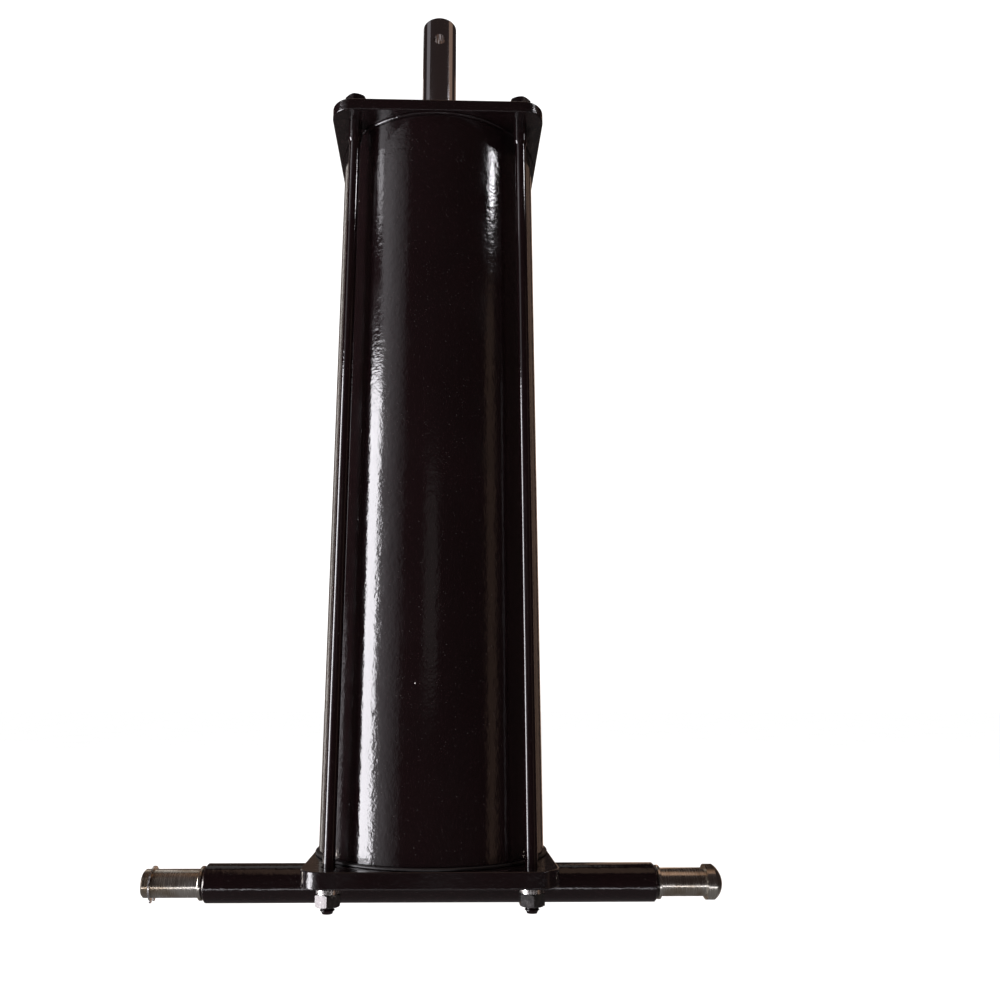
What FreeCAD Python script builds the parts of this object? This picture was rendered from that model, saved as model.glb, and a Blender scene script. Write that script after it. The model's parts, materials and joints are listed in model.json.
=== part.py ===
import FreeCAD, Part
import math
import os

# Tie-rod air cylinder with a cross tube and pivot pin under its lower end plate.
# Millimetres. The origin is the centre of the pivot axis: X runs along the pivot pin,
# Z runs up the cylinder, and the ports face +Y. The rod is drawn fully retracted.

V = FreeCAD.Vector
UP = V(0, 0, 1)
ALONG_X = V(1, 0, 0)
ALONG_Y = V(0, 1, 0)

# Driving dimensions
BORE_R = 62.5
TUBE_WALL = 5.0
TUBE_LENGTH = 460.0
STROKE = 380.0
ROD_R = 12.5
PLATE_SIDE = 140.0
PLATE_CORNER_R = 14.0
TOP_PLATE_THICK = 8.0
BOTTOM_PLATE_THICK = 9.0
TIE_PITCH = 110.0
TIE_SHANK_R = 3.55
TIE_THREAD_R = 4.0
TIE_THREAD_PITCH = 1.25
PIN_R = 8.0
CROSS_TUBE_R = 11.0
CROSS_TUBE_LENGTH = 271.0
POST_WIDTH = 27.0
PIVOT_TO_PLATE_TOP = 18.3

# Clearances
RUNNING_GAP = 0.05
STATIC_GAP = 0.05
LOCATING_GAP = 0.2
STOP_GAP = 0.2
EDGE_BREAK = 0.8

# Heights up the cylinder
GASKET_THICK = 1.5
GASKET_OVERHANG = 2.0
SPIGOT_HEIGHT = 5.0
BOTTOM_PLATE_TOP = PIVOT_TO_PLATE_TOP
BOTTOM_PLATE_BASE = BOTTOM_PLATE_TOP - BOTTOM_PLATE_THICK
TUBE_BASE = BOTTOM_PLATE_TOP + GASKET_THICK
TUBE_TOP = TUBE_BASE + TUBE_LENGTH
TOP_PLATE_BASE = TUBE_TOP + GASKET_THICK
TOP_PLATE_TOP = TOP_PLATE_BASE + TOP_PLATE_THICK

# Piston and its stops
LOWER_BUMPER_THICK = 14.0
UPPER_BUMPER_THICK = 5.0
LOWER_BUMPER_R = 45.0
LOWER_BUMPER_HOLE_R = 22.0
UPPER_BUMPER_R = 22.0
PISTON_HEIGHT = 34.0
PISTON_R = 62.2
PISTON_BASE = BOTTOM_PLATE_TOP + SPIGOT_HEIGHT + LOWER_BUMPER_THICK + STOP_GAP
PISTON_TOP = PISTON_BASE + PISTON_HEIGHT
GLAND_BASE = PISTON_TOP + STROKE + STOP_GAP + UPPER_BUMPER_THICK
SPIGOT_ROD_R = 8.0

# Rod gland
GLAND_BODY_R = 23.0
GLAND_FLANGE_R = 35.0
GLAND_FLANGE_THICK = 7.0
GLAND_TOP = TOP_PLATE_TOP + GLAND_FLANGE_THICK
GLAND_SCREW_PITCH_R = 29.0
GLAND_SCREW_R = 3.0
GLAND_FIT_GAP = 0.1
GLAND_WALL_BELOW_BUSH = 2.0
GLAND_LAND = 2.0
SEAL_GROOVE_HEIGHT = 7.0
WIPER_GROOVE_DEPTH = 5.0
GLAND_O_RING_UP = 2.5
GLAND_O_RING_GROOVE = 3.4
GLAND_O_RING_DEPTH = 1.9
BUSH_R = 15.0
BUSH_LENGTH = 20.0
BUSH_BASE = GLAND_BASE + GLAND_WALL_BELOW_BUSH
LIP_SEAL_R = 16.5
ROD_SEAL_BASE = BUSH_BASE + BUSH_LENGTH + GLAND_LAND
WIPER_BASE = GLAND_TOP - WIPER_GROOVE_DEPTH

# Rod end
ROD_END_TOP = BOTTOM_PLATE_TOP + 589.1
ROD_HOLE_Z = ROD_END_TOP - 20.0
ROD_HOLE_R = 4.25

# Nuts, washers and collars of the tie rods
NUT_FLATS = 13.0
NUT_HEIGHT = 6.8
NUT_FACE_SHARE = 0.95
NUT_LEAD = 0.6
NUT_THREAD_GAP = 0.05
FLAT_WASHER_R = 7.2
FLAT_WASHER_THICK = 1.6
SPRING_WASHER_R = 6.6
SPRING_WASHER_THICK = 2.2
WASHER_HOLE_GAP = 0.2
COLLAR_HEIGHT = 15.0
COLLAR_R = 4.5
COLLAR_TAPER = 2.0
STUD_TIP_Z = BOTTOM_PLATE_BASE - 14.2
STUD_TIP_CHAMFER = 1.2
STACK_HEIGHT = FLAT_WASHER_THICK + SPRING_WASHER_THICK + NUT_HEIGHT
ROD_BELOW_NUT_FACE = 0.2
LOWER_NUT_TURNS = (-88, -87, 20, 47)
UPPER_NUT_TURNS = (20, -20, 52, 5)
LOWER_SPLIT_TURNS = (200, 320, 75, 150)
UPPER_SPLIT_TURNS = (110, 250, 15, 290)

# Ports
PORT_R = 5.9
PORT_DEPTH = 12.0
PORT_PASSAGE_R = 4.0
PORT_BOSS_R = 11.0
PORT_BOSS_FACE_Y = 81.0
PORT_BOSS_SINK = 3.0
PORT_WELD_LEG = 3.0
LOWER_PORT_Z = BOTTOM_PLATE_TOP + 15.1
UPPER_PORT_Z = BOTTOM_PLATE_TOP + 448.1

TIE_OFFSET = TIE_PITCH / 2
TIE_PLACES = {
    "front_left": (-TIE_OFFSET, -TIE_OFFSET),
    "front_right": (TIE_OFFSET, -TIE_OFFSET),
    "rear_left": (-TIE_OFFSET, TIE_OFFSET),
    "rear_right": (TIE_OFFSET, TIE_OFFSET),
}
TUBE_R = BORE_R + TUBE_WALL

os.makedirs("parts", exist_ok=True)


def cylinder(radius, low, high, x=0.0, y=0.0):
    """A solid cylinder standing along Z between two heights."""
    return Part.makeCylinder(radius, high - low, V(x, y, low), UP)


def ring(outer_r, inner_r, low, high, x=0.0, y=0.0):
    """A plain ring standing along Z."""
    return cylinder(outer_r, low, high, x, y).cut(cylinder(inner_r, low - 1, high + 1, x, y))


def turned(profile, x=0.0, y=0.0):
    """A turned solid about Z from a closed outline of (radius, height) points."""
    points = [V(radius, 0, height) for radius, height in profile]
    face = Part.Face(Part.makePolygon(points + points[:1]))
    solid = face.revolve(V(0, 0, 0), UP, 360)
    solid.translate(V(x, y, 0))
    return solid


def laid_along_x(solid):
    """Turns a solid made along +Z so that it lies along +X."""
    return solid.rotated(V(0, 0, 0), ALONG_Y, 90)


def hexagon_prism(flats, low, high, turn_degrees):
    """A hexagonal prism about Z, turned by an angle."""
    corner_r = flats / math.sqrt(3)
    angles = [math.radians(turn_degrees + 60 * side) for side in range(6)]
    points = [V(corner_r * math.cos(angle), corner_r * math.sin(angle), low) for angle in angles]
    return Part.Face(Part.makePolygon(points + points[:1])).extrude(V(0, 0, high - low))


def hexagon_nut(low, high, hole_r, turn_degrees, flats=NUT_FLATS):
    """A nut with its corners turned off at 30 degrees and a countersunk thread hole."""
    corner_r = flats / math.sqrt(3)
    face_r = flats / 2 * NUT_FACE_SHARE
    drop = (corner_r - face_r) * math.tan(math.radians(30))
    outline = [(0, low), (face_r, low), (corner_r, low + drop),
               (corner_r, high - drop), (face_r, high), (0, high)]
    nut = hexagon_prism(flats, low, high, turn_degrees).common(turned(outline))
    nut = nut.cut(cylinder(hole_r, low - 1, high + 1))
    mouth_r = hole_r + NUT_LEAD
    lower_mouth = [(0, low), (mouth_r, low), (hole_r, low + NUT_LEAD), (0, low + NUT_LEAD)]
    upper_mouth = [(0, high), (mouth_r, high), (hole_r, high - NUT_LEAD), (0, high - NUT_LEAD)]
    return nut.cut(turned(lower_mouth)).cut(turned(upper_mouth))


def thread_crests(major_r, pitch, low, count):
    """Outline points of a ringed thread that runs up from a stud's chamfered tip."""
    root_r = major_r - 0.6 * pitch
    points = []
    for turn in range(count):
        start = low + turn * pitch
        points += [(root_r, start), (major_r, start + 0.4 * pitch), (major_r, start + 0.6 * pitch)]
    points.append((root_r, low + count * pitch))
    return points


def save(name, solids):
    """Writes one node, which holds one solid or a group of separate solids."""
    shape = solids[0] if len(solids) == 1 else Part.makeCompound(solids)
    if not shape.isValid():
        raise ValueError(name + " is not valid")
    for solid in shape.Solids:
        if solid.Volume <= 0:
            raise ValueError(name + " has an empty solid")
    shape.exportStep("parts/" + name + ".step")


# Pressure tube and end plates

def make_tube():
    """The pressure tube, chamfered inside at both ends, with a passage at each port."""
    lead = 1.0
    edge = 0.3
    profile = [
        (BORE_R + lead, TUBE_BASE), (TUBE_R - edge, TUBE_BASE), (TUBE_R, TUBE_BASE + edge),
        (TUBE_R, TUBE_TOP - edge), (TUBE_R - edge, TUBE_TOP), (BORE_R + lead, TUBE_TOP),
        (BORE_R, TUBE_TOP - lead), (BORE_R, TUBE_BASE + lead),
    ]
    tube = turned(profile)
    for height in (LOWER_PORT_Z, UPPER_PORT_Z):
        passage = Part.makeCylinder(PORT_PASSAGE_R, 40, V(0, BORE_R - 20, height), ALONG_Y)
        tube = tube.cut(passage)
    return tube


def make_gasket(low):
    """Flat gasket between the tube and a plate; its rim stands out round the tube."""
    outer = TUBE_R + GASKET_OVERHANG
    inner = BORE_R + 0.1
    high = low + GASKET_THICK
    edge = 0.4
    return turned([(inner, low), (outer - edge, low), (outer, low + edge),
                   (outer, high - edge), (outer - edge, high), (inner, high)])


def rounded_plate(thickness, low):
    """A square plate with round corners and lightly broken edges."""
    half = PLATE_SIDE / 2
    plate = Part.makeBox(PLATE_SIDE, PLATE_SIDE, thickness, V(-half, -half, low))
    corners = [edge for edge in plate.Edges if abs(edge.tangentAt(0).z) > 0.9]
    plate = plate.makeFillet(PLATE_CORNER_R, corners)
    rims = [edge for edge in plate.Edges if edge.BoundBox.ZLength < 0.01]
    return plate.makeFillet(EDGE_BREAK, rims)


def with_tie_holes(plate, low, high):
    hole_r = TIE_THREAD_R + 0.25
    for x, y in TIE_PLACES.values():
        plate = plate.cut(cylinder(hole_r, low - 1, high + 1, x, y))
    return plate


def spigot(low, high, lead_end):
    """The short round step that centres the tube; its free end has a lead-in chamfer."""
    outer = BORE_R - LOCATING_GAP
    lead = 1.0
    if lead_end == "high":
        profile = [(0, low), (outer, low), (outer, high - lead), (outer - lead, high), (0, high)]
    else:
        profile = [(0, low), (outer - lead, low), (outer, low + lead), (outer, high), (0, high)]
    return turned(profile)


def make_bottom_plate():
    """Blank end plate: a spigot above, and a shallow saddle below for the cross tube."""
    plate = rounded_plate(BOTTOM_PLATE_THICK, BOTTOM_PLATE_BASE)
    plate = plate.fuse(spigot(BOTTOM_PLATE_TOP - 1, BOTTOM_PLATE_TOP + SPIGOT_HEIGHT, "high"))
    plate = with_tie_holes(plate.removeSplitter(), BOTTOM_PLATE_BASE, BOTTOM_PLATE_TOP)
    saddle_length = PLATE_SIDE + 20
    saddle = Part.makeCylinder(CROSS_TUBE_R + STATIC_GAP, saddle_length,
                               V(-saddle_length / 2, 0, 0), ALONG_X)
    return plate.cut(saddle)


def gland_screw_places():
    angles = [math.radians(45 + 90 * quarter) for quarter in range(4)]
    return [(GLAND_SCREW_PITCH_R * math.cos(a), GLAND_SCREW_PITCH_R * math.sin(a)) for a in angles]


def make_top_plate():
    """Rod end plate: a spigot below, a bore for the gland and tapped gland screw holes."""
    low = TOP_PLATE_BASE - SPIGOT_HEIGHT
    plate = rounded_plate(TOP_PLATE_THICK, TOP_PLATE_BASE)
    plate = plate.fuse(spigot(low, TOP_PLATE_BASE + 1, "low")).removeSplitter()
    plate = with_tie_holes(plate, TOP_PLATE_BASE, TOP_PLATE_TOP)
    plate = plate.cut(cylinder(GLAND_BODY_R + GLAND_FIT_GAP, low - 1, TOP_PLATE_TOP + 1))
    for x, y in gland_screw_places():
        screw_hole = cylinder(GLAND_SCREW_R + NUT_THREAD_GAP, low - 1, TOP_PLATE_TOP + 1, x, y)
        plate = plate.cut(screw_hole)
    return plate


# Cross tube and pivot pin

def make_cross_tube():
    """Thick tube with bevelled ends; its bore carries the pivot pin."""
    half = CROSS_TUBE_LENGTH / 2
    bevel = 2.0
    bore_r = PIN_R + RUNNING_GAP
    end_r = CROSS_TUBE_R - bevel
    profile = [
        (bore_r, -half), (end_r, -half), (CROSS_TUBE_R, -half + bevel),
        (CROSS_TUBE_R, half - bevel), (end_r, half), (bore_r, half),
    ]
    return laid_along_x(turned(profile))


def make_weld_bead(side):
    """Fillet weld along one side of the cross tube, under the bottom plate."""
    leg = 4.5
    bulge = 0.55 * leg
    root = 1.0
    end_gap = 6.0
    x0 = end_gap - PLATE_SIDE / 2
    length = PLATE_SIDE - 2 * end_gap
    top_z = BOTTOM_PLATE_BASE
    low_z = top_z - leg
    touch_y = math.sqrt(CROSS_TUBE_R ** 2 - top_z ** 2)
    low_y = math.sqrt(CROSS_TUBE_R ** 2 - low_z ** 2)
    foot = V(x0, side * (touch_y - root), top_z)
    toe = V(x0, side * (touch_y + leg + root), top_z)
    crown = V(x0, side * (low_y + bulge), top_z - bulge)
    heel = V(x0, side * (low_y - 0.2 * root), low_z)
    outline = Part.Wire([
        Part.makeLine(foot, toe),
        Part.Arc(toe, crown, heel).toShape(),
        Part.makeLine(heel, foot),
    ])
    bead = Part.Face(outline).extrude(V(length, 0, 0))
    core = Part.makeCylinder(CROSS_TUBE_R + STATIC_GAP, PLATE_SIDE, V(-PLATE_SIDE / 2, 0, 0), ALONG_X)
    return bead.cut(core)


PIN_WASHER_R = 9.6
PIN_WASHER_THICK = 2.0
PIN_WASHER_GAP = 0.1
PIN_WASHER_EDGE = 0.4
PIN_END_PLAY = 0.5
POST_GAP = PIN_WASHER_THICK + 2 * PIN_WASHER_GAP
PIN_SHOULDER = CROSS_TUBE_LENGTH / 2 + POST_GAP + POST_WIDTH + PIN_END_PLAY
PIN_TAIL = 5.0
CLIP_THICK = 1.0
CLIP_SIDE_GAP = 0.05
CLIP_GROOVE_R = 7.6
CLIP_R = 9.7
CLIP_MOUTH = 6.0
CLIP_EYE_R = 1.5
CLIP_EYE_HOLE_R = 0.6
CLIP_EYE_PLACE = (8.9, 3.2)
HEAD_R = 10.0
HEAD_RIM = 5.0
HEAD_HEIGHT = 10.3


def make_pivot_pin():
    """Headed pin: a low domed head at +X, and a clip groove and chamfer at -X."""
    groove_out = -PIN_SHOULDER - CLIP_THICK - 2 * CLIP_SIDE_GAP
    tail = groove_out - PIN_TAIL
    chamfer = 1.0
    rim = V(HEAD_R, 0, PIN_SHOULDER + HEAD_RIM)
    head_top = V(0, 0, PIN_SHOULDER + HEAD_HEIGHT)
    dome_rise = HEAD_HEIGHT - HEAD_RIM
    sphere_r = (HEAD_R ** 2 + dome_rise ** 2) / (2 * dome_rise)
    half_angle = math.asin(HEAD_R / sphere_r) / 2
    dome_mid = V(sphere_r * math.sin(half_angle), 0,
                 head_top.z - sphere_r * (1 - math.cos(half_angle)))
    outline = [(0, tail), (PIN_R - chamfer, tail), (PIN_R, tail + chamfer), (PIN_R, groove_out),
               (CLIP_GROOVE_R, groove_out), (CLIP_GROOVE_R, -PIN_SHOULDER), (PIN_R, -PIN_SHOULDER),
               (PIN_R, PIN_SHOULDER), (HEAD_R, PIN_SHOULDER), (HEAD_R, PIN_SHOULDER + HEAD_RIM)]
    points = [V(radius, 0, height) for radius, height in outline]
    edges = [Part.makeLine(a, b) for a, b in zip(points, points[1:])]
    edges.append(Part.Arc(rim, dome_mid, head_top).toShape())
    edges.append(Part.makeLine(head_top, points[0]))
    solid = Part.Face(Part.Wire(edges)).revolve(V(0, 0, 0), UP, 360)
    return laid_along_x(solid)


def make_pin_washers():
    """Thrust washers on the pin, one between each end of the cross tube and its post."""
    near = CROSS_TUBE_LENGTH / 2 + PIN_WASHER_GAP
    far = near + PIN_WASHER_THICK
    bore_r = PIN_R + WASHER_HOLE_GAP
    edge = PIN_WASHER_EDGE
    profile = [
        (bore_r, near), (PIN_WASHER_R - edge, near), (PIN_WASHER_R, near + edge),
        (PIN_WASHER_R, far - edge), (PIN_WASHER_R - edge, far), (bore_r, far),
    ]
    right = laid_along_x(turned(profile))
    return [right, right.rotated(V(0, 0, 0), UP, 180)]


def make_retaining_clip():
    """External ring clip with two eyes, in the pin's groove outside the left post."""
    high = -PIN_SHOULDER - CLIP_SIDE_GAP
    low = high - CLIP_THICK
    inner_r = CLIP_GROOVE_R + STATIC_GAP
    clip = ring(CLIP_R, inner_r, low, high)
    mouth = Part.makeBox(2 * CLIP_R, CLIP_MOUTH, 3 * CLIP_THICK, V(0, -CLIP_MOUTH / 2, low - CLIP_THICK))
    clip = clip.cut(mouth)
    groove = cylinder(inner_r, low - 1, high + 1)
    eye_x, eye_y = CLIP_EYE_PLACE
    for side in (-1, 1):
        eye = ring(CLIP_EYE_R, CLIP_EYE_HOLE_R, low, high, eye_x, side * eye_y)
        clip = clip.fuse(eye.cut(groove))
    return laid_along_x(clip)


# Tie rods and their fasteners

def make_tie_rod(x, y):
    """Drawn rod with rolled threads: plain shank, full-size ends, chamfered tips."""
    rod_top = TOP_PLATE_TOP + STACK_HEIGHT - ROD_BELOW_NUT_FACE
    tip = STUD_TIP_CHAMFER
    thread_low = STUD_TIP_Z + tip
    crests = 3
    crests_high = thread_low + crests * TIE_THREAD_PITCH
    neck = 0.5
    profile = [(0, STUD_TIP_Z), (TIE_THREAD_R - tip, STUD_TIP_Z)]
    profile += thread_crests(TIE_THREAD_R, TIE_THREAD_PITCH, thread_low, crests)
    profile += [
        (TIE_THREAD_R, crests_high + 0.3 * TIE_THREAD_PITCH),
        (TIE_THREAD_R, BOTTOM_PLATE_TOP - 2 * neck), (TIE_SHANK_R, BOTTOM_PLATE_TOP - neck),
        (TIE_SHANK_R, TOP_PLATE_BASE + neck), (TIE_THREAD_R, TOP_PLATE_BASE + 2 * neck),
        (TIE_THREAD_R, rod_top - tip), (TIE_THREAD_R - tip, rod_top), (0, rod_top),
    ]
    return turned(profile, x, y)


def make_collars():
    """Sleeves on the tie rods, tight under the top plate, tapered at the lower end."""
    high = TOP_PLATE_BASE
    low = high - COLLAR_HEIGHT
    inner = TIE_SHANK_R + STATIC_GAP
    end_r = inner + 0.2
    profile = [(inner, low), (end_r, low), (COLLAR_R, low + COLLAR_TAPER),
               (COLLAR_R, high), (inner, high)]
    return [turned(profile, x, y) for x, y in TIE_PLACES.values()]


def layer(plate_face, outward, start, thick):
    """Lower and upper height of one layer of a stack that grows outward from a plate."""
    near = plate_face + outward * start
    far = near + outward * thick
    return min(near, far), max(near, far)


PLATE_FACES = ((BOTTOM_PLATE_BASE, -1), (TOP_PLATE_TOP, 1))


def make_flat_washers():
    """One against each plate at each end of every tie rod."""
    washers = []
    for face, outward in PLATE_FACES:
        low, high = layer(face, outward, 0, FLAT_WASHER_THICK)
        for x, y in TIE_PLACES.values():
            washers.append(ring(FLAT_WASHER_R, TIE_THREAD_R + WASHER_HOLE_GAP, low, high, x, y))
    return washers


def make_spring_washer(x, y, low, high, split_turn):
    """Split ring with a slanted split."""
    slant = 25
    split_width = 1.0
    reach = 2 * SPRING_WASHER_R
    washer = ring(SPRING_WASHER_R, TIE_THREAD_R + WASHER_HOLE_GAP, low, high)
    middle = (low + high) / 2
    split = Part.makeBox(reach, split_width, reach, V(0, -split_width / 2, middle - reach / 2))
    split.rotate(V(0, 0, middle), ALONG_X, slant)
    split.rotate(V(0, 0, 0), UP, split_turn)
    washer = washer.cut(split)
    washer.translate(V(x, y, 0))
    return washer


def make_spring_washers():
    """One under every nut; each split points its own way."""
    washers = []
    for (face, outward), turns in zip(PLATE_FACES, (LOWER_SPLIT_TURNS, UPPER_SPLIT_TURNS)):
        low, high = layer(face, outward, FLAT_WASHER_THICK, SPRING_WASHER_THICK)
        for (x, y), turn in zip(TIE_PLACES.values(), turns):
            washers.append(make_spring_washer(x, y, low, high, turn))
    return washers


def make_nuts(face, outward, turns):
    """The hexagon nuts at one end plate, each turned as it was left when tightened."""
    washers_thick = FLAT_WASHER_THICK + SPRING_WASHER_THICK
    low, high = layer(face, outward, washers_thick, NUT_HEIGHT)
    nuts = []
    for (x, y), turn in zip(TIE_PLACES.values(), turns):
        nut = hexagon_nut(low, high, TIE_THREAD_R + NUT_THREAD_GAP, turn)
        nut.translate(V(x, y, 0))
        nuts.append(nut)
    return nuts


# Ports

def make_port_boss(height):
    """Threaded boss welded to the back of the tube."""
    base_y = TUBE_R - PORT_BOSS_SINK
    boss = Part.makeCylinder(PORT_BOSS_R, PORT_BOSS_FACE_Y - base_y, V(0, base_y, height), ALONG_Y)
    rim = [edge for edge in boss.Edges if abs(edge.BoundBox.YMin - PORT_BOSS_FACE_Y) < 0.01]
    boss = boss.makeChamfer(1.0, rim)
    boss = boss.cut(cylinder(TUBE_R + STATIC_GAP, height - 20, height + 20))
    hole_base = PORT_BOSS_FACE_Y - PORT_DEPTH
    boss = boss.cut(Part.makeCylinder(PORT_R, 40, V(0, hole_base, height), ALONG_Y))
    return boss.cut(Part.makeCylinder(PORT_PASSAGE_R, 40, V(0, base_y - 10, height), ALONG_Y))


def make_port_weld(height):
    """Weld bead round the foot of a port boss."""
    base_y = TUBE_R - 2.0
    crown_y = TUBE_R + PORT_WELD_LEG
    foot_r = PORT_BOSS_R + PORT_WELD_LEG + 0.8
    crown_r = PORT_BOSS_R + 0.4
    cone = Part.makeCone(foot_r, crown_r, crown_y - base_y, V(0, base_y, height), ALONG_Y)
    boss = Part.makeCylinder(PORT_BOSS_R + STATIC_GAP, 40, V(0, base_y - 10, height), ALONG_Y)
    return cone.cut(boss).cut(cylinder(TUBE_R + STATIC_GAP, height - 20, height + 20))


# Rod gland

def make_gland():
    """Flanged housing through the top plate; holds the guide bush, rod seal and wiper."""
    rod_hole_r = ROD_R + 0.5
    edge = 1.0
    seal_high = ROD_SEAL_BASE + SEAL_GROOVE_HEIGHT
    bush_top = BUSH_BASE + BUSH_LENGTH
    groove_r = GLAND_BODY_R - GLAND_O_RING_DEPTH
    groove_low = TOP_PLATE_BASE + GLAND_O_RING_UP
    groove_high = groove_low + GLAND_O_RING_GROOVE
    outer = [
        (rod_hole_r, GLAND_BASE), (GLAND_BODY_R - edge, GLAND_BASE), (GLAND_BODY_R, GLAND_BASE + edge),
        (GLAND_BODY_R, groove_low), (groove_r, groove_low), (groove_r, groove_high),
        (GLAND_BODY_R, groove_high), (GLAND_BODY_R, TOP_PLATE_TOP),
        (GLAND_FLANGE_R, TOP_PLATE_TOP), (GLAND_FLANGE_R, GLAND_TOP - edge),
        (GLAND_FLANGE_R - edge, GLAND_TOP),
    ]
    inner = [
        (LIP_SEAL_R, GLAND_TOP), (LIP_SEAL_R, WIPER_BASE), (rod_hole_r, WIPER_BASE),
        (rod_hole_r, seal_high), (LIP_SEAL_R, seal_high), (LIP_SEAL_R, ROD_SEAL_BASE),
        (rod_hole_r, ROD_SEAL_BASE), (rod_hole_r, bush_top), (BUSH_R, bush_top),
        (BUSH_R, BUSH_BASE), (rod_hole_r, BUSH_BASE),
    ]
    gland = turned(outer + inner)
    for x, y in gland_screw_places():
        screw_hole = cylinder(GLAND_SCREW_R + 0.2, TOP_PLATE_TOP - 0.5, GLAND_TOP + 1, x, y)
        gland = gland.cut(screw_hole)
    return gland


def make_gland_screw(x, y):
    """Socket-head screw."""
    head_r = 5.0
    head_high = GLAND_TOP + 6
    tip = TOP_PLATE_BASE + 0.5
    chamfer = 0.5
    socket_flats = 5.0
    socket_depth = 3.0
    profile = [
        (0, tip), (GLAND_SCREW_R - chamfer, tip), (GLAND_SCREW_R, tip + chamfer),
        (GLAND_SCREW_R, GLAND_TOP), (head_r, GLAND_TOP), (head_r, head_high - chamfer),
        (head_r - chamfer, head_high), (0, head_high),
    ]
    socket = hexagon_prism(socket_flats, head_high - socket_depth, head_high + 1, 0)
    screw = turned(profile).cut(socket)
    screw.translate(V(x, y, 0))
    return screw


def make_gland_o_ring():
    section_r = GLAND_O_RING_DEPTH / 2
    centre_r = GLAND_BODY_R - GLAND_O_RING_DEPTH + section_r + 0.05
    centre_z = TOP_PLATE_BASE + GLAND_O_RING_UP + GLAND_O_RING_GROOVE / 2
    return Part.makeTorus(centre_r, section_r, V(0, 0, centre_z), UP)


def make_guide_bush():
    end_gap = 0.05
    return ring(BUSH_R - 0.02, ROD_R + 0.03, BUSH_BASE + end_gap, BUSH_BASE + BUSH_LENGTH - end_gap)


def lip_ring(outer_r, inner_r, low, high, opens_up):
    """A seal with a V notch between its two lips."""
    middle = (outer_r + inner_r) / 2
    half_notch = (outer_r - inner_r) * 0.28
    depth = (high - low) * 0.55
    if opens_up:
        profile = [(inner_r, low), (outer_r, low), (outer_r, high), (middle + half_notch, high),
                   (middle, high - depth), (middle - half_notch, high), (inner_r, high)]
    else:
        profile = [(inner_r, high), (inner_r, low), (middle - half_notch, low),
                   (middle, low + depth), (middle + half_notch, low), (outer_r, low), (outer_r, high)]
    return turned(profile)


def make_rod_seal():
    end_gap = 0.3
    low = ROD_SEAL_BASE + end_gap
    high = ROD_SEAL_BASE + SEAL_GROOVE_HEIGHT - end_gap
    return lip_ring(LIP_SEAL_R - STATIC_GAP, ROD_R + RUNNING_GAP, low, high, opens_up=False)


def make_rod_wiper():
    """Scraper ring with a lip that stands above the gland."""
    low = WIPER_BASE + 0.1
    inner = ROD_R + RUNNING_GAP
    outer = LIP_SEAL_R - STATIC_GAP
    lip_foot = 2.2
    lip_tip = 1.0
    lip_height = 1.8
    profile = [(inner, low), (outer, low), (outer, GLAND_TOP), (inner + lip_foot, GLAND_TOP),
               (inner + lip_tip, GLAND_TOP + lip_height), (inner, GLAND_TOP + lip_height)]
    return turned(profile)


def make_upper_bumper():
    return ring(UPPER_BUMPER_R, ROD_R + 1.2, GLAND_BASE - UPPER_BUMPER_THICK, GLAND_BASE)


def make_lower_bumper():
    low = BOTTOM_PLATE_TOP + SPIGOT_HEIGHT
    return ring(LOWER_BUMPER_R, LOWER_BUMPER_HOLE_R, low, low + LOWER_BUMPER_THICK)


# Piston and rod

LOWER_SEAL_GROOVE = (4.0, 11.0)
WEAR_GROOVE = (13.0, 21.0)
UPPER_SEAL_GROOVE = (23.0, 30.0)
SEAL_GROOVE_R = 56.0
WEAR_GROOVE_R = 60.0
PISTON_SKIRT_R = 62.45
PISTON_HOLE_R = SPIGOT_ROD_R + STATIC_GAP
PISTON_RECESS_R = 20.0
PISTON_RECESS_TOP = PISTON_BASE + 13.0
PISTON_O_RING_BASE = PISTON_BASE + 24.0
PISTON_O_RING_GROOVE = 3.0
PISTON_O_RING_DEPTH = 1.6
PISTON_O_RING_R = 0.75
PISTON_WASHER_R = 15.0
PISTON_WASHER_THICK = 2.5
PISTON_NUT_FLATS = 24.0
PISTON_NUT_HEIGHT = 8.0


def make_piston():
    """Piston with two seal grooves, a wear ring groove and a recess for the rod nut."""
    edge = 1.0
    o_ring_high = PISTON_O_RING_BASE + PISTON_O_RING_GROOVE
    o_ring_r = PISTON_HOLE_R + PISTON_O_RING_DEPTH
    outer = [(PISTON_RECESS_R, PISTON_BASE), (PISTON_R - edge, PISTON_BASE),
             (PISTON_R, PISTON_BASE + edge)]
    grooves = ((LOWER_SEAL_GROOVE, SEAL_GROOVE_R), (WEAR_GROOVE, WEAR_GROOVE_R),
               (UPPER_SEAL_GROOVE, SEAL_GROOVE_R))
    for (low, high), root_r in grooves:
        outer += [(PISTON_R, PISTON_BASE + low), (root_r, PISTON_BASE + low),
                  (root_r, PISTON_BASE + high), (PISTON_R, PISTON_BASE + high)]
    outer += [(PISTON_R, PISTON_TOP - edge), (PISTON_R - edge, PISTON_TOP),
              (PISTON_HOLE_R, PISTON_TOP)]
    inner = [
        (PISTON_HOLE_R, o_ring_high), (o_ring_r, o_ring_high), (o_ring_r, PISTON_O_RING_BASE),
        (PISTON_HOLE_R, PISTON_O_RING_BASE), (PISTON_HOLE_R, PISTON_RECESS_TOP),
        (PISTON_RECESS_R, PISTON_RECESS_TOP),
    ]
    return turned(outer + inner)


def make_piston_seal(groove, opens_up):
    end_gap = 0.2
    low = PISTON_BASE + groove[0] + end_gap
    high = PISTON_BASE + groove[1] - end_gap
    return lip_ring(PISTON_SKIRT_R, SEAL_GROOVE_R + 0.1, low, high, opens_up)


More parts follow.
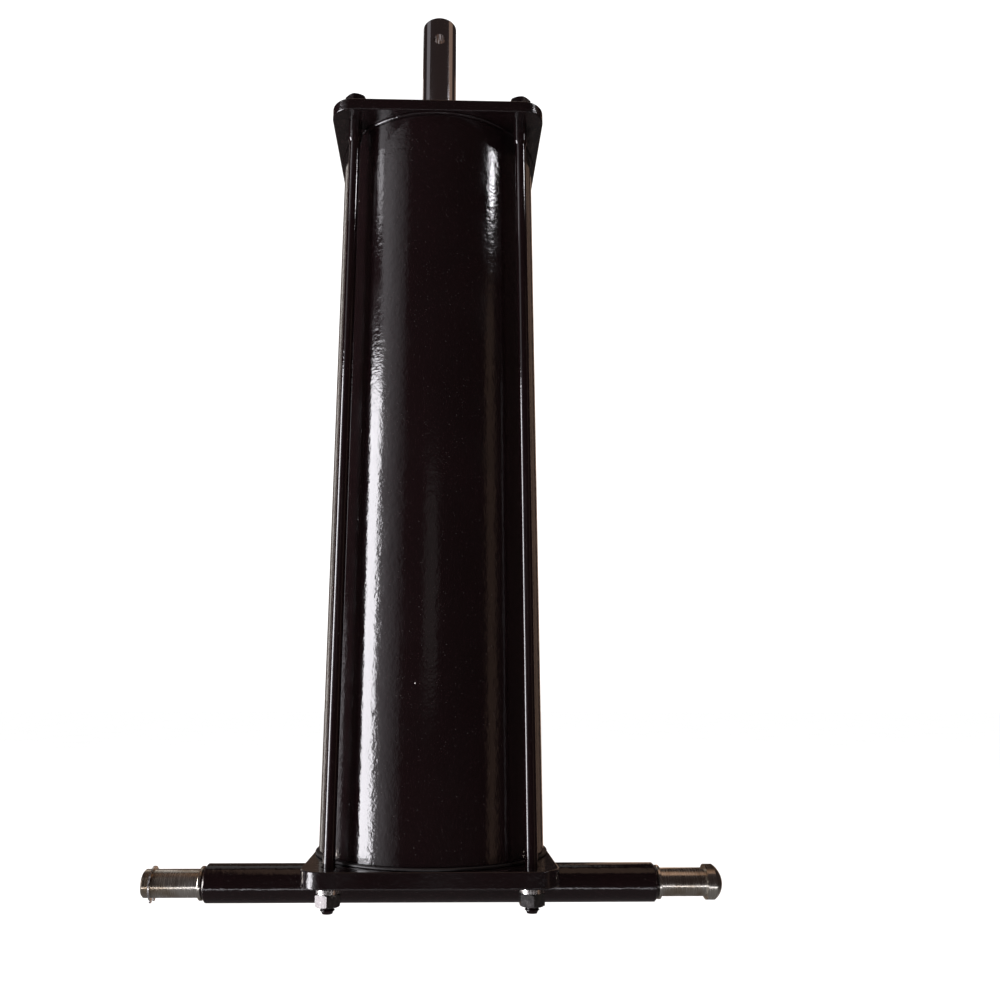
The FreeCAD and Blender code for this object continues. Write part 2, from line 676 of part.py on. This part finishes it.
def make_wear_ring():
    """Guide strip with the slanted joint that lets it be sprung over the piston."""
    end_gap = 0.1
    low = PISTON_BASE + WEAR_GROOVE[0] + end_gap
    high = PISTON_BASE + WEAR_GROOVE[1] - end_gap
    strip = ring(PISTON_SKIRT_R, WEAR_GROOVE_R + 0.1, low, high)
    slant = 35
    joint_width = 1.2
    reach = 30.0
    middle = (low + high) / 2
    joint = Part.makeBox(reach, joint_width, reach,
                         V(PISTON_R - reach / 2, -joint_width / 2, middle - reach / 2))
    joint.rotate(V(0, 0, middle), ALONG_X, slant)
    return strip.cut(joint)


def make_piston_o_ring():
    centre_r = PISTON_HOLE_R + PISTON_O_RING_R + 0.05
    centre_z = PISTON_O_RING_BASE + PISTON_O_RING_GROOVE / 2
    return Part.makeTorus(centre_r, PISTON_O_RING_R, V(0, 0, centre_z), UP)


def make_piston_washer():
    low = PISTON_RECESS_TOP - PISTON_WASHER_THICK
    return ring(PISTON_WASHER_R, PISTON_HOLE_R + 0.15, low, PISTON_RECESS_TOP)


def make_piston_nut():
    """Thin nut that clamps the piston against the rod's shoulder."""
    high = PISTON_RECESS_TOP - PISTON_WASHER_THICK
    low = high - PISTON_NUT_HEIGHT
    return hexagon_nut(low, high, SPIGOT_ROD_R + NUT_THREAD_GAP, 15, flats=PISTON_NUT_FLATS)


def make_piston_rod():
    """Ground rod: a reduced lower end for the piston, and a cross hole at the top."""
    top_chamfer = 1.5
    low_chamfer = 1.0
    spigot_low = PISTON_BASE + 1.5
    profile = [
        (0, spigot_low), (SPIGOT_ROD_R - low_chamfer, spigot_low),
        (SPIGOT_ROD_R, spigot_low + low_chamfer), (SPIGOT_ROD_R, PISTON_TOP), (ROD_R, PISTON_TOP),
        (ROD_R, ROD_END_TOP - top_chamfer), (ROD_R - top_chamfer, ROD_END_TOP), (0, ROD_END_TOP),
    ]
    rod = turned(profile)
    cross_hole = Part.makeCylinder(ROD_HOLE_R, 4 * ROD_R, V(0, -2 * ROD_R, ROD_HOLE_Z), ALONG_Y)
    return rod.cut(cross_hole)


# Write every node

save("pressure_tube", [make_tube()])
save("tube_gasket_lower", [make_gasket(BOTTOM_PLATE_TOP)])
save("tube_gasket_upper", [make_gasket(TUBE_TOP)])
save("bottom_plate", [make_bottom_plate()])
save("top_plate", [make_top_plate()])
save("cross_tube", [make_cross_tube()])
save("cross_tube_welds", [make_weld_bead(-1), make_weld_bead(1)])
save("pivot_pin", [make_pivot_pin()])
save("pin_washers", make_pin_washers())
save("retaining_clip", [make_retaining_clip()])
for place, (tie_x, tie_y) in TIE_PLACES.items():
    save("tie_rod_" + place, [make_tie_rod(tie_x, tie_y)])
save("tie_rod_collars", make_collars())
save("flat_washers", make_flat_washers())
save("spring_washers", make_spring_washers())
save("lower_nuts", make_nuts(BOTTOM_PLATE_BASE, -1, LOWER_NUT_TURNS))
save("upper_nuts", make_nuts(TOP_PLATE_TOP, 1, UPPER_NUT_TURNS))
save("port_boss_lower", [make_port_boss(LOWER_PORT_Z)])
save("port_boss_upper", [make_port_boss(UPPER_PORT_Z)])
save("port_boss_welds", [make_port_weld(LOWER_PORT_Z), make_port_weld(UPPER_PORT_Z)])
save("rod_gland", [make_gland()])
save("gland_screws", [make_gland_screw(x, y) for x, y in gland_screw_places()])
save("gland_o_ring", [make_gland_o_ring()])
save("guide_bush", [make_guide_bush()])
save("rod_seal", [make_rod_seal()])
save("rod_wiper", [make_rod_wiper()])
save("upper_bumper", [make_upper_bumper()])
save("lower_bumper", [make_lower_bumper()])
save("piston", [make_piston()])
save("piston_seal_lower", [make_piston_seal(LOWER_SEAL_GROOVE, opens_up=False)])
save("piston_seal_upper", [make_piston_seal(UPPER_SEAL_GROOVE, opens_up=True)])
save("piston_wear_ring", [make_wear_ring()])
save("piston_o_ring", [make_piston_o_ring()])
save("piston_washer", [make_piston_washer()])
save("piston_nut", [make_piston_nut()])
save("piston_rod", [make_piston_rod()])
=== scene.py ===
import json
import math

import bmesh
import bpy
from mathutils import Matrix, Vector


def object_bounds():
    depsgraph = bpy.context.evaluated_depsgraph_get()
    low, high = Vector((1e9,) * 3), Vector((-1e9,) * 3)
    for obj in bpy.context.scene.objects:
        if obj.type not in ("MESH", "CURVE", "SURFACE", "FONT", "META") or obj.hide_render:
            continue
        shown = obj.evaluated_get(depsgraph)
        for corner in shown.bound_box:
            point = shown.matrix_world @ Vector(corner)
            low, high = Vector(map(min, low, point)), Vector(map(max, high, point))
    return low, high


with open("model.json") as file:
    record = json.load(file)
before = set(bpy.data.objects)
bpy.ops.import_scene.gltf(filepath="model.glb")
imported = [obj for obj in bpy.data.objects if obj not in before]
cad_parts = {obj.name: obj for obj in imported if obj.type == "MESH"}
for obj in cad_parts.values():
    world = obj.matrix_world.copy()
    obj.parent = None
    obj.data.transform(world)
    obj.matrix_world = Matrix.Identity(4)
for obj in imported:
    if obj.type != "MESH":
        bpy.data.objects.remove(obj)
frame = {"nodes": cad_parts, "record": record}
cad_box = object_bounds()

# ---------------------------------------------------------------- shader helpers

class Shader:
    """A material's node tree, with short calls for the nodes that every finish here uses."""

    def __init__(self, name):
        self.material = bpy.data.materials.new(name)
        self.material.use_nodes = True
        self.tree = self.material.node_tree
        self.surface = self.tree.nodes["Principled BSDF"]
        self.place = self.add("ShaderNodeTexCoord").outputs["Object"]

    def add(self, kind, **settings):
        node = self.tree.nodes.new(kind)
        for key, value in settings.items():
            setattr(node, key, value)
        return node

    def feed(self, socket, value):
        """Puts a number or colour on a socket, or links another node's output to it."""
        if isinstance(value, bpy.types.NodeSocket):
            self.tree.links.new(value, socket)
        else:
            socket.default_value = value

    def stretched(self, scale):
        """The object's own coordinates, scaled along X, Y and Z."""
        mapping = self.add("ShaderNodeMapping")
        self.feed(mapping.inputs["Vector"], self.place)
        mapping.inputs["Scale"].default_value = scale
        return mapping.outputs["Vector"]

    def noise(self, scale, detail=3.0, roughness=0.5, vector=None):
        node = self.add("ShaderNodeTexNoise")
        self.feed(node.inputs["Vector"], vector or self.place)
        node.inputs["Scale"].default_value = scale
        node.inputs["Detail"].default_value = detail
        node.inputs["Roughness"].default_value = roughness
        return node.outputs["Fac"]

    def remap(self, value, low, high, to_low=0.0, to_high=1.0):
        node = self.add("ShaderNodeMapRange", clamp=True)
        self.feed(node.inputs["Value"], value)
        node.inputs["From Min"].default_value = low
        node.inputs["From Max"].default_value = high
        node.inputs["To Min"].default_value = to_low
        node.inputs["To Max"].default_value = to_high
        return node.outputs["Result"]

    def math(self, operation, a, b=0.0):
        node = self.add("ShaderNodeMath", operation=operation)
        self.feed(node.inputs[0], a)
        self.feed(node.inputs[1], b)
        return node.outputs[0]

    def mix(self, factor, a, b):
        node = self.add("ShaderNodeMix", data_type="RGBA")
        self.feed(node.inputs["Factor"], factor)
        self.feed(node.inputs["A"], a)
        self.feed(node.inputs["B"], b)
        return node.outputs["Result"]

    def specks(self, cells, share, radius):
        """1 on small round specks: one in a random share of the cells of a cell texture."""
        cell = self.add("ShaderNodeTexVoronoi", feature="F1")
        self.feed(cell.inputs["Vector"], self.place)
        cell.inputs["Scale"].default_value = cells
        chosen = self.add("ShaderNodeSeparateColor")
        self.feed(chosen.inputs["Color"], cell.outputs["Color"])
        lucky = self.math("LESS_THAN", chosen.outputs["Red"], share)
        size = self.math("MULTIPLY", chosen.outputs["Green"], radius)
        near = self.math("LESS_THAN", cell.outputs["Distance"], size)
        return self.math("MULTIPLY", lucky, near)

    def bump(self, height, distance, strength=1.0, under=None):
        node = self.add("ShaderNodeBump")
        self.feed(node.inputs["Height"], height)
        node.inputs["Distance"].default_value = distance
        node.inputs["Strength"].default_value = strength
        if under is not None:
            self.feed(node.inputs["Normal"], under)
        return node.outputs["Normal"]

    def finish(self, color, roughness, normal=None, **plain):
        """Sets the surface's colour, roughness and normal, and plain numbers on its own sockets."""
        self.feed(self.surface.inputs["Base Color"], color)
        self.feed(self.surface.inputs["Roughness"], roughness)
        if normal is not None:
            self.feed(self.surface.inputs["Normal"], normal)
        for key, value in plain.items():
            self.surface.inputs[key.replace("_", " ")].default_value = value
        return self.material


def rgb(red, green, blue):
    return (red, green, blue, 1.0)


# ---------------------------------------------------------------- finishes

ENAMEL_DARK = (0.0019, 0.0009, 0.0010)
ENAMEL_LIGHT = (0.0042, 0.0019, 0.0022)
POWDER_COLOR = (0.026, 0.022, 0.021)
MOTE_COLOR = (0.42, 0.40, 0.38)
RUN_DEPTH = 0.00018
NIB_HEIGHT = 0.00012
# Orange peel: noise scale per metre and depth in metres, from coarse to fine
PEEL_LAYERS = ((230.0, 0.00012), (620.0, 0.00007), (1300.0, 0.00002))


def enamel(name, peel=1.0, dust=1.0, roughness=(0.06, 0.16)):
    """Sprayed black gloss enamel: warm black, runs, orange peel, nibs, powder and a few motes."""
    s = Shader(name)
    cloud = s.noise(14.0, 4.0)
    runs = s.noise(1.0, 3.0, vector=s.stretched((60.0, 60.0, 5.0)))
    nibs = s.specks(260.0, 0.06 * dust, 0.13)
    motes = s.specks(420.0, 0.003 * dust, 0.13)
    powder = s.specks(1150.0, 0.08 * dust, 0.30)
    black = s.mix(cloud, rgb(*ENAMEL_DARK), rgb(*ENAMEL_LIGHT))
    dusty = s.mix(powder, black, rgb(*POWDER_COLOR))
    dusty = s.mix(motes, dusty, rgb(*MOTE_COLOR))
    gloss = s.remap(s.noise(45.0, 5.0), 0.3, 0.75, roughness[0], roughness[1])
    dull = s.math("MAXIMUM", gloss, s.math("MULTIPLY", motes, 0.55))
    normal = s.bump(runs, RUN_DEPTH * peel)
    for scale, depth in PEEL_LAYERS:
        normal = s.bump(s.noise(scale, 2.0), depth * peel, under=normal)
    normal = s.bump(nibs, NIB_HEIGHT, 0.9, under=normal)
    return s.finish(dusty, dull, normal, IOR=1.5, Metallic=0.0)


def chrome():
    """Hard chrome: mirror-like, with fine grinding rings and a few lengthwise wipe marks."""
    s = Shader("polished_chrome")
    rings = s.noise(1.0, 4.0, 0.6, vector=s.stretched((30.0, 30.0, 5200.0)))
    wipes = s.noise(1.0, 3.0, 0.6, vector=s.stretched((900.0, 900.0, 14.0)))
    color = s.mix(s.noise(22.0), rgb(0.66, 0.64, 0.65), rgb(0.78, 0.77, 0.79))
    rough = s.math("ADD", s.remap(rings, 0.35, 0.7, 0.05, 0.12), s.remap(wipes, 0.5, 0.8, 0.0, 0.08))
    normal = s.bump(rings, 0.0000025)
    return s.finish(color, rough, normal, Metallic=1.0)


def bright_zinc():
    """Bright zinc plate: cool silver with faint straw patches and a fine satin grain."""
    s = Shader("bright_zinc")
    patches = s.noise(160.0, 3.0)
    color = s.mix(patches, rgb(0.80, 0.80, 0.84), rgb(0.70, 0.66, 0.58))
    rough = s.remap(s.noise(700.0, 4.0), 0.3, 0.7, 0.16, 0.34)
    normal = s.bump(s.noise(1500.0, 2.0), 0.00002)
    return s.finish(color, rough, normal, Metallic=1.0)


def turned_steel():
    """Bright turned bar: tool rings along X, slightly yellowed by oil, with dark nicks."""
    s = Shader("turned_steel")
    rings = s.noise(1.0, 3.0, 0.6, vector=s.stretched((4200.0, 30.0, 30.0)))
    stain = s.remap(s.noise(70.0, 4.0), 0.45, 0.7)
    nicks = s.specks(330.0, 0.12, 0.2)
    color = s.mix(stain, rgb(0.70, 0.67, 0.61), rgb(0.42, 0.34, 0.25))
    color = s.mix(nicks, color, rgb(0.08, 0.06, 0.05))
    rough = s.remap(rings, 0.3, 0.7, 0.14, 0.3)
    normal = s.bump(rings, 0.000012)
    return s.finish(color, rough, normal, Metallic=1.0)


def black_steel(name, gloss=0.16):
    """Blackened steel, oiled, with thin bare wear where a spanner has rubbed."""
    s = Shader(name)
    grain = s.noise(420.0, 4.0)
    worn = s.remap(s.noise(260.0, 5.0, 0.65), 0.62, 0.72)
    color = s.mix(grain, rgb(0.035, 0.033, 0.034), rgb(0.07, 0.066, 0.064))
    color = s.mix(s.math("MULTIPLY", worn, 0.5), color, rgb(0.35, 0.33, 0.32))
    rough = s.remap(grain, 0.3, 0.7, gloss, gloss + 0.16)
    normal = s.bump(s.noise(800.0, 3.0), 0.000025)
    return s.finish(color, rough, normal, Metallic=0.85)


def machined_iron():
    """Blackened machined casting: turning rings about Z and an open grain."""
    s = Shader("machined_iron")
    grain = s.noise(520.0, 5.0, 0.6)
    color = s.mix(grain, rgb(0.028, 0.026, 0.026), rgb(0.06, 0.056, 0.055))
    rough = s.remap(grain, 0.3, 0.7, 0.26, 0.42)
    normal = s.bump(grain, 0.00003)
    return s.finish(color, rough, normal, Metallic=0.7)


def rubber():
    """Moulded rubber: near black and matt, with a fine grain."""
    s = Shader("moulded_rubber")
    grain = s.noise(900.0, 4.0)
    color = s.mix(grain, rgb(0.012, 0.012, 0.012), rgb(0.026, 0.025, 0.024))
    rough = s.remap(grain, 0.3, 0.7, 0.5, 0.68)
    return s.finish(color, rough, s.bump(grain, 0.00004))


def plastic(name, dark, light):
    """Moulded polymer with a faint mottle and grain."""
    s = Shader(name)
    grain = s.noise(600.0, 3.0)
    color = s.mix(grain, rgb(*dark), rgb(*light))
    rough = s.remap(grain, 0.3, 0.7, 0.32, 0.46)
    return s.finish(color, rough, s.bump(grain, 0.00002))


def machined(name, dark, light):
    """Turned soft metal with rings about Z."""
    s = Shader(name)
    rings = s.noise(1.0, 3.0, 0.6, vector=s.stretched((40.0, 40.0, 3600.0)))
    color = s.mix(s.noise(60.0, 4.0), rgb(*dark), rgb(*light))
    return s.finish(color, s.remap(rings, 0.3, 0.7, 0.2, 0.36), s.bump(rings, 0.00001), Metallic=1.0)


FINISHES = {
    "tube_paint": enamel("tube_enamel"),
    "plate_paint": enamel("plate_enamel", peel=1.6, dust=1.6, roughness=(0.1, 0.24)),
    "rod_paint": enamel("tie_rod_enamel", peel=0.4, dust=0.5, roughness=(0.03, 0.08)),
    "nut_paint": enamel("nut_enamel", peel=1.2, dust=1.0, roughness=(0.1, 0.25)),
    "weld_paint": enamel("weld_enamel", peel=2.0, dust=1.0, roughness=(0.12, 0.25)),
    "black_nut": black_steel("black_nut_steel", 0.1),
    "black_screw": black_steel("black_oxide", 0.24),
    "zinc": bright_zinc(),
    "pin_steel": turned_steel(),
    "chrome_rod": chrome(),
    "gland_iron": machined_iron(),
    "bronze": machined("bush_bronze", (0.50, 0.30, 0.12), (0.66, 0.45, 0.22)),
    "piston_aluminium": machined("piston_alloy", (0.62, 0.62, 0.64), (0.76, 0.76, 0.77)),
    "seal_polymer": plastic("seal_polyurethane", (0.03, 0.06, 0.2), (0.05, 0.09, 0.28)),
    "wear_polymer": plastic("wear_strip", (0.55, 0.48, 0.34), (0.68, 0.6, 0.45)),
    "rubber": rubber(),
}


NODE_FINISHES = {
    "tube_gasket_lower": enamel("gasket_enamel", roughness=(0.4, 0.55)),
}


def dress_cad_nodes():
    """Every CAD node gets its own finish, or the finish of its slot in the record."""
    for part in frame["record"]["subparts"]:
        node = frame["nodes"][part["node"]]
        finish = NODE_FINISHES.get(part["node"], FINISHES[part["material_slot"]])
        for slot in node.material_slots:
            slot.material = finish
        if not node.material_slots:
            node.data.materials.append(finish)


# ---------------------------------------------------------------- studio

CAMERA_PLACE = Vector((0.0060, -0.5523, 0.1049))
CAMERA_PITCH = math.radians(13.405)
CAMERA_YAW = math.radians(1.402)
CAMERA_ROLL = math.radians(0.107)
CAMERA_LENS = 30.69
CAMERA_SHIFT_X = 0.0355


def make_camera():
    """Stands close in front at plate height and looks up at the cylinder."""
    data = bpy.data.cameras.new("camera")
    data.lens = CAMERA_LENS
    data.shift_x = CAMERA_SHIFT_X
    data.clip_start = 0.01
    data.clip_end = 50.0
    camera = bpy.data.objects.new("camera", data)
    bpy.context.scene.collection.objects.link(camera)
    forward = Vector((math.sin(CAMERA_YAW) * math.cos(CAMERA_PITCH),
                      math.cos(CAMERA_YAW) * math.cos(CAMERA_PITCH),
                      math.sin(CAMERA_PITCH)))
    level = Vector((math.cos(CAMERA_YAW), -math.sin(CAMERA_YAW), 0.0))
    upright = level.cross(forward)
    right = level * math.cos(CAMERA_ROLL) + upright * math.sin(CAMERA_ROLL)
    up = upright * math.cos(CAMERA_ROLL) - level * math.sin(CAMERA_ROLL)
    turn = Matrix((right, up, -forward)).transposed().to_4x4()
    camera.matrix_world = Matrix.Translation(CAMERA_PLACE) @ turn
    bpy.context.scene.camera = camera


COOL = (0.97, 0.95, 1.0)
NEUTRAL = (1.0, 0.97, 0.94)
BROWN = (1.0, 0.66, 0.47)

# Rectangular lamps: azimuth in degrees (0 in front, 90 at the right), distance from the axis, height,
# width and length in metres, radiance, tint, and the height on the axis that the lamp is turned to.
# A lamp's fade is the share of its strength lost from its left side to its right side.
SOFT_BOXES = {
    "key_strip": dict(azimuth=-71, distance=1.6, height=-0.12, width=0.56, length=2.1,
                      radiance=20.0, tint=COOL, aim_height=-0.12),
    "key_strip_upper": dict(azimuth=-70, distance=1.6, height=1.48, width=0.18, length=0.25,
                            radiance=6.0, tint=COOL, aim_height=1.48),
    "side_panel": dict(azimuth=-48.5, distance=1.65, height=0.42, width=0.9, length=2.62,
                       radiance=1.75, tint=COOL, aim_height=0.42, fade=0.93),
    "front_glow": dict(azimuth=-3, distance=2.0, height=0.45, width=0.45, length=0.6,
                       radiance=0.2, tint=NEUTRAL, aim_height=0.45),
    "low_left": dict(azimuth=-106, distance=1.6, height=-0.15, width=0.1, length=0.9,
                     radiance=1.6, tint=COOL, aim_height=-0.15),
    "high_right": dict(azimuth=66.5, distance=1.6, height=1.49, width=0.22, length=0.13,
                       radiance=36.0, tint=COOL, aim_height=1.49),
    "high_right_upper": dict(azimuth=66, distance=1.6, height=1.66, width=0.26, length=0.2,
                             radiance=5.0, tint=COOL, aim_height=1.66),
    "low_right": dict(azimuth=62, distance=1.7, height=0.3, width=0.3, length=1.8,
                      radiance=0.3, tint=BROWN, aim_height=0.3),
    "back_left": dict(azimuth=-155, distance=2.2, height=0.7, width=1.6, length=3.6,
                      radiance=0.08, tint=BROWN, aim_height=0.7),
    "back_left_strip": dict(azimuth=-150, distance=2.1, height=0.7, width=0.3, length=3.2,
                            radiance=0.95, tint=NEUTRAL, aim_height=0.7),
    "back_right": dict(azimuth=142, distance=2.2, height=0.7, width=0.55, length=3.4,
                       radiance=0.2, tint=BROWN, aim_height=0.7),
    "back_right_strip": dict(azimuth=164, distance=2.1, height=0.7, width=0.24, length=3.2,
                             radiance=0.7, tint=BROWN, aim_height=0.7),
    "rod_left": dict(azimuth=-84, distance=1.5, height=1.95, width=0.8, length=0.5,
                     radiance=0.16, tint=COOL, aim_height=0.55),
    "rod_right": dict(azimuth=85, distance=1.5, height=1.95, width=0.9, length=0.5,
                      radiance=0.2, tint=BROWN, aim_height=0.55),
    "under_strip": dict(azimuth=0, distance=1.2, height=-0.6, width=2.6, length=0.08,
                        radiance=6.0, tint=COOL, aim_height=0.0),
    "top_box": dict(azimuth=10, distance=0.5, height=2.5, width=1.6, length=1.6,
                    radiance=0.5, tint=BROWN, aim_height=0.3),
    "top_box_rear": dict(azimuth=190, distance=1.3, height=2.6, width=1.6, length=1.2,
                         radiance=0.5, tint=NEUTRAL, aim_height=0.3),
}


FADE_CURVE = 0.7


def fade_across(light, fade):
    """Makes an area lamp dimmer from one side to the other, by a share of its strength."""
    light.use_nodes = True
    tree = light.node_tree
    surface = tree.nodes.new("ShaderNodeNewGeometry")
    across = tree.nodes.new("ShaderNodeSeparateXYZ")
    curve = tree.nodes.new("ShaderNodeMath")
    curve.operation = "POWER"
    curve.inputs[1].default_value = FADE_CURVE
    strength = tree.nodes.new("ShaderNodeMapRange")
    strength.inputs["To Min"].default_value = 1.0
    strength.inputs["To Max"].default_value = 1.0 - fade
    tree.links.new(surface.outputs["Parametric"], across.inputs[0])
    tree.links.new(across.outputs["X"], curve.inputs[0])
    tree.links.new(curve.outputs[0], strength.inputs["Value"])
    tree.links.new(strength.outputs["Result"], tree.nodes["Emission"].inputs["Strength"])


def make_soft_box(name, azimuth, distance, height, width, length, radiance, tint, aim_height, fade=0.0):
    """A rectangular lamp turned to a point on the cylinder's axis, unseen by the camera."""
    light = bpy.data.lights.new(name, "AREA")
    light.shape = "RECTANGLE"
    light.size = width
    light.size_y = length
    light.energy = radiance * math.pi * width * length
    light.color = tint
    if fade:
        fade_across(light, fade)
    lamp = bpy.data.objects.new(name, light)
    bpy.context.scene.collection.objects.link(lamp)
    angle = math.radians(azimuth)
    lamp.location = (distance * math.sin(angle), -distance * math.cos(angle), height)
    aim = Vector((0.0, 0.0, aim_height)) - lamp.location
    lamp.rotation_mode = "QUATERNION"
    lamp.rotation_quaternion = aim.to_track_quat("-Z", "Y")
    lamp.visible_camera = False


BACKDROP_STRENGTH = 1.22
MIRRORED_DARK = (0.025, 0.0175, 0.0165)
MIRRORED_GROUND = (0.140, 0.132, 0.132)
GROUND_STARTS = -0.20
GROUND_FULL = -0.55


def make_world():
    """White behind the cylinder. Reflections see a dim warm room, a little lighter towards the ground."""
    world = bpy.data.worlds.new("studio")
    bpy.context.scene.world = world
    world.use_nodes = True
    world.cycles.sampling_method = "NONE"
    tree = world.node_tree
    tree.nodes.clear()
    plain = tree.nodes.new("ShaderNodeBackground")
    plain.inputs["Color"].default_value = rgb(1.0, 1.0, 1.0)
    plain.inputs["Strength"].default_value = BACKDROP_STRENGTH
    mirrored = tree.nodes.new("ShaderNodeBackground")
    direction = tree.nodes.new("ShaderNodeTexCoord")
    height = tree.nodes.new("ShaderNodeSeparateXYZ")
    low = tree.nodes.new("ShaderNodeMapRange")
    low.interpolation_type = "SMOOTHSTEP"
    low.inputs["From Min"].default_value = GROUND_STARTS
    low.inputs["From Max"].default_value = GROUND_FULL
    shade = tree.nodes.new("ShaderNodeMix")
    shade.data_type = "RGBA"
    shade.inputs["A"].default_value = rgb(*MIRRORED_DARK)
    shade.inputs["B"].default_value = rgb(*MIRRORED_GROUND)
    tree.links.new(direction.outputs["Generated"], height.inputs[0])
    tree.links.new(height.outputs["Z"], low.inputs["Value"])
    tree.links.new(low.outputs["Result"], shade.inputs["Factor"])
    tree.links.new(shade.outputs["Result"], mirrored.inputs["Color"])
    ray = tree.nodes.new("ShaderNodeLightPath")
    pick = tree.nodes.new("ShaderNodeMixShader")
    out = tree.nodes.new("ShaderNodeOutputWorld")
    tree.links.new(ray.outputs["Is Glossy Ray"], pick.inputs[0])
    tree.links.new(plain.outputs[0], pick.inputs[1])
    tree.links.new(mirrored.outputs[0], pick.inputs[2])
    tree.links.new(pick.outputs[0], out.inputs["Surface"])


FLOOR_DROP = 0.16
FLOOR_HALF_WIDTH = 30.0


def make_floor():
    """A plain pale floor below the cylinder, which hangs by its pin. Reflections and shadows skip it."""
    s = Shader("pale_floor")
    mottle = s.noise(3.0, 4.0)
    color = s.mix(mottle, rgb(0.80, 0.80, 0.80), rgb(0.84, 0.84, 0.84))
    rough = s.remap(mottle, 0.3, 0.7, 0.7, 0.8)
    material = s.finish(color, rough, Specular_IOR_Level=0.0)
    mesh = bpy.data.meshes.new("floor")
    build = bmesh.new()
    bmesh.ops.create_grid(build, x_segments=8, y_segments=8, size=FLOOR_HALF_WIDTH)
    build.to_mesh(mesh)
    build.free()
    floor = bpy.data.objects.new("floor", mesh)
    bpy.context.scene.collection.objects.link(floor)
    floor.location.z = cad_box[0].z - FLOOR_DROP
    mesh.materials.append(material)
    floor.visible_glossy = False
    floor.visible_shadow = False


dress_cad_nodes()
make_camera()
make_world()
make_floor()
for lamp_name, settings in SOFT_BOXES.items():
    make_soft_box(lamp_name, **settings)
bpy.context.scene.view_settings.view_transform = "Standard"
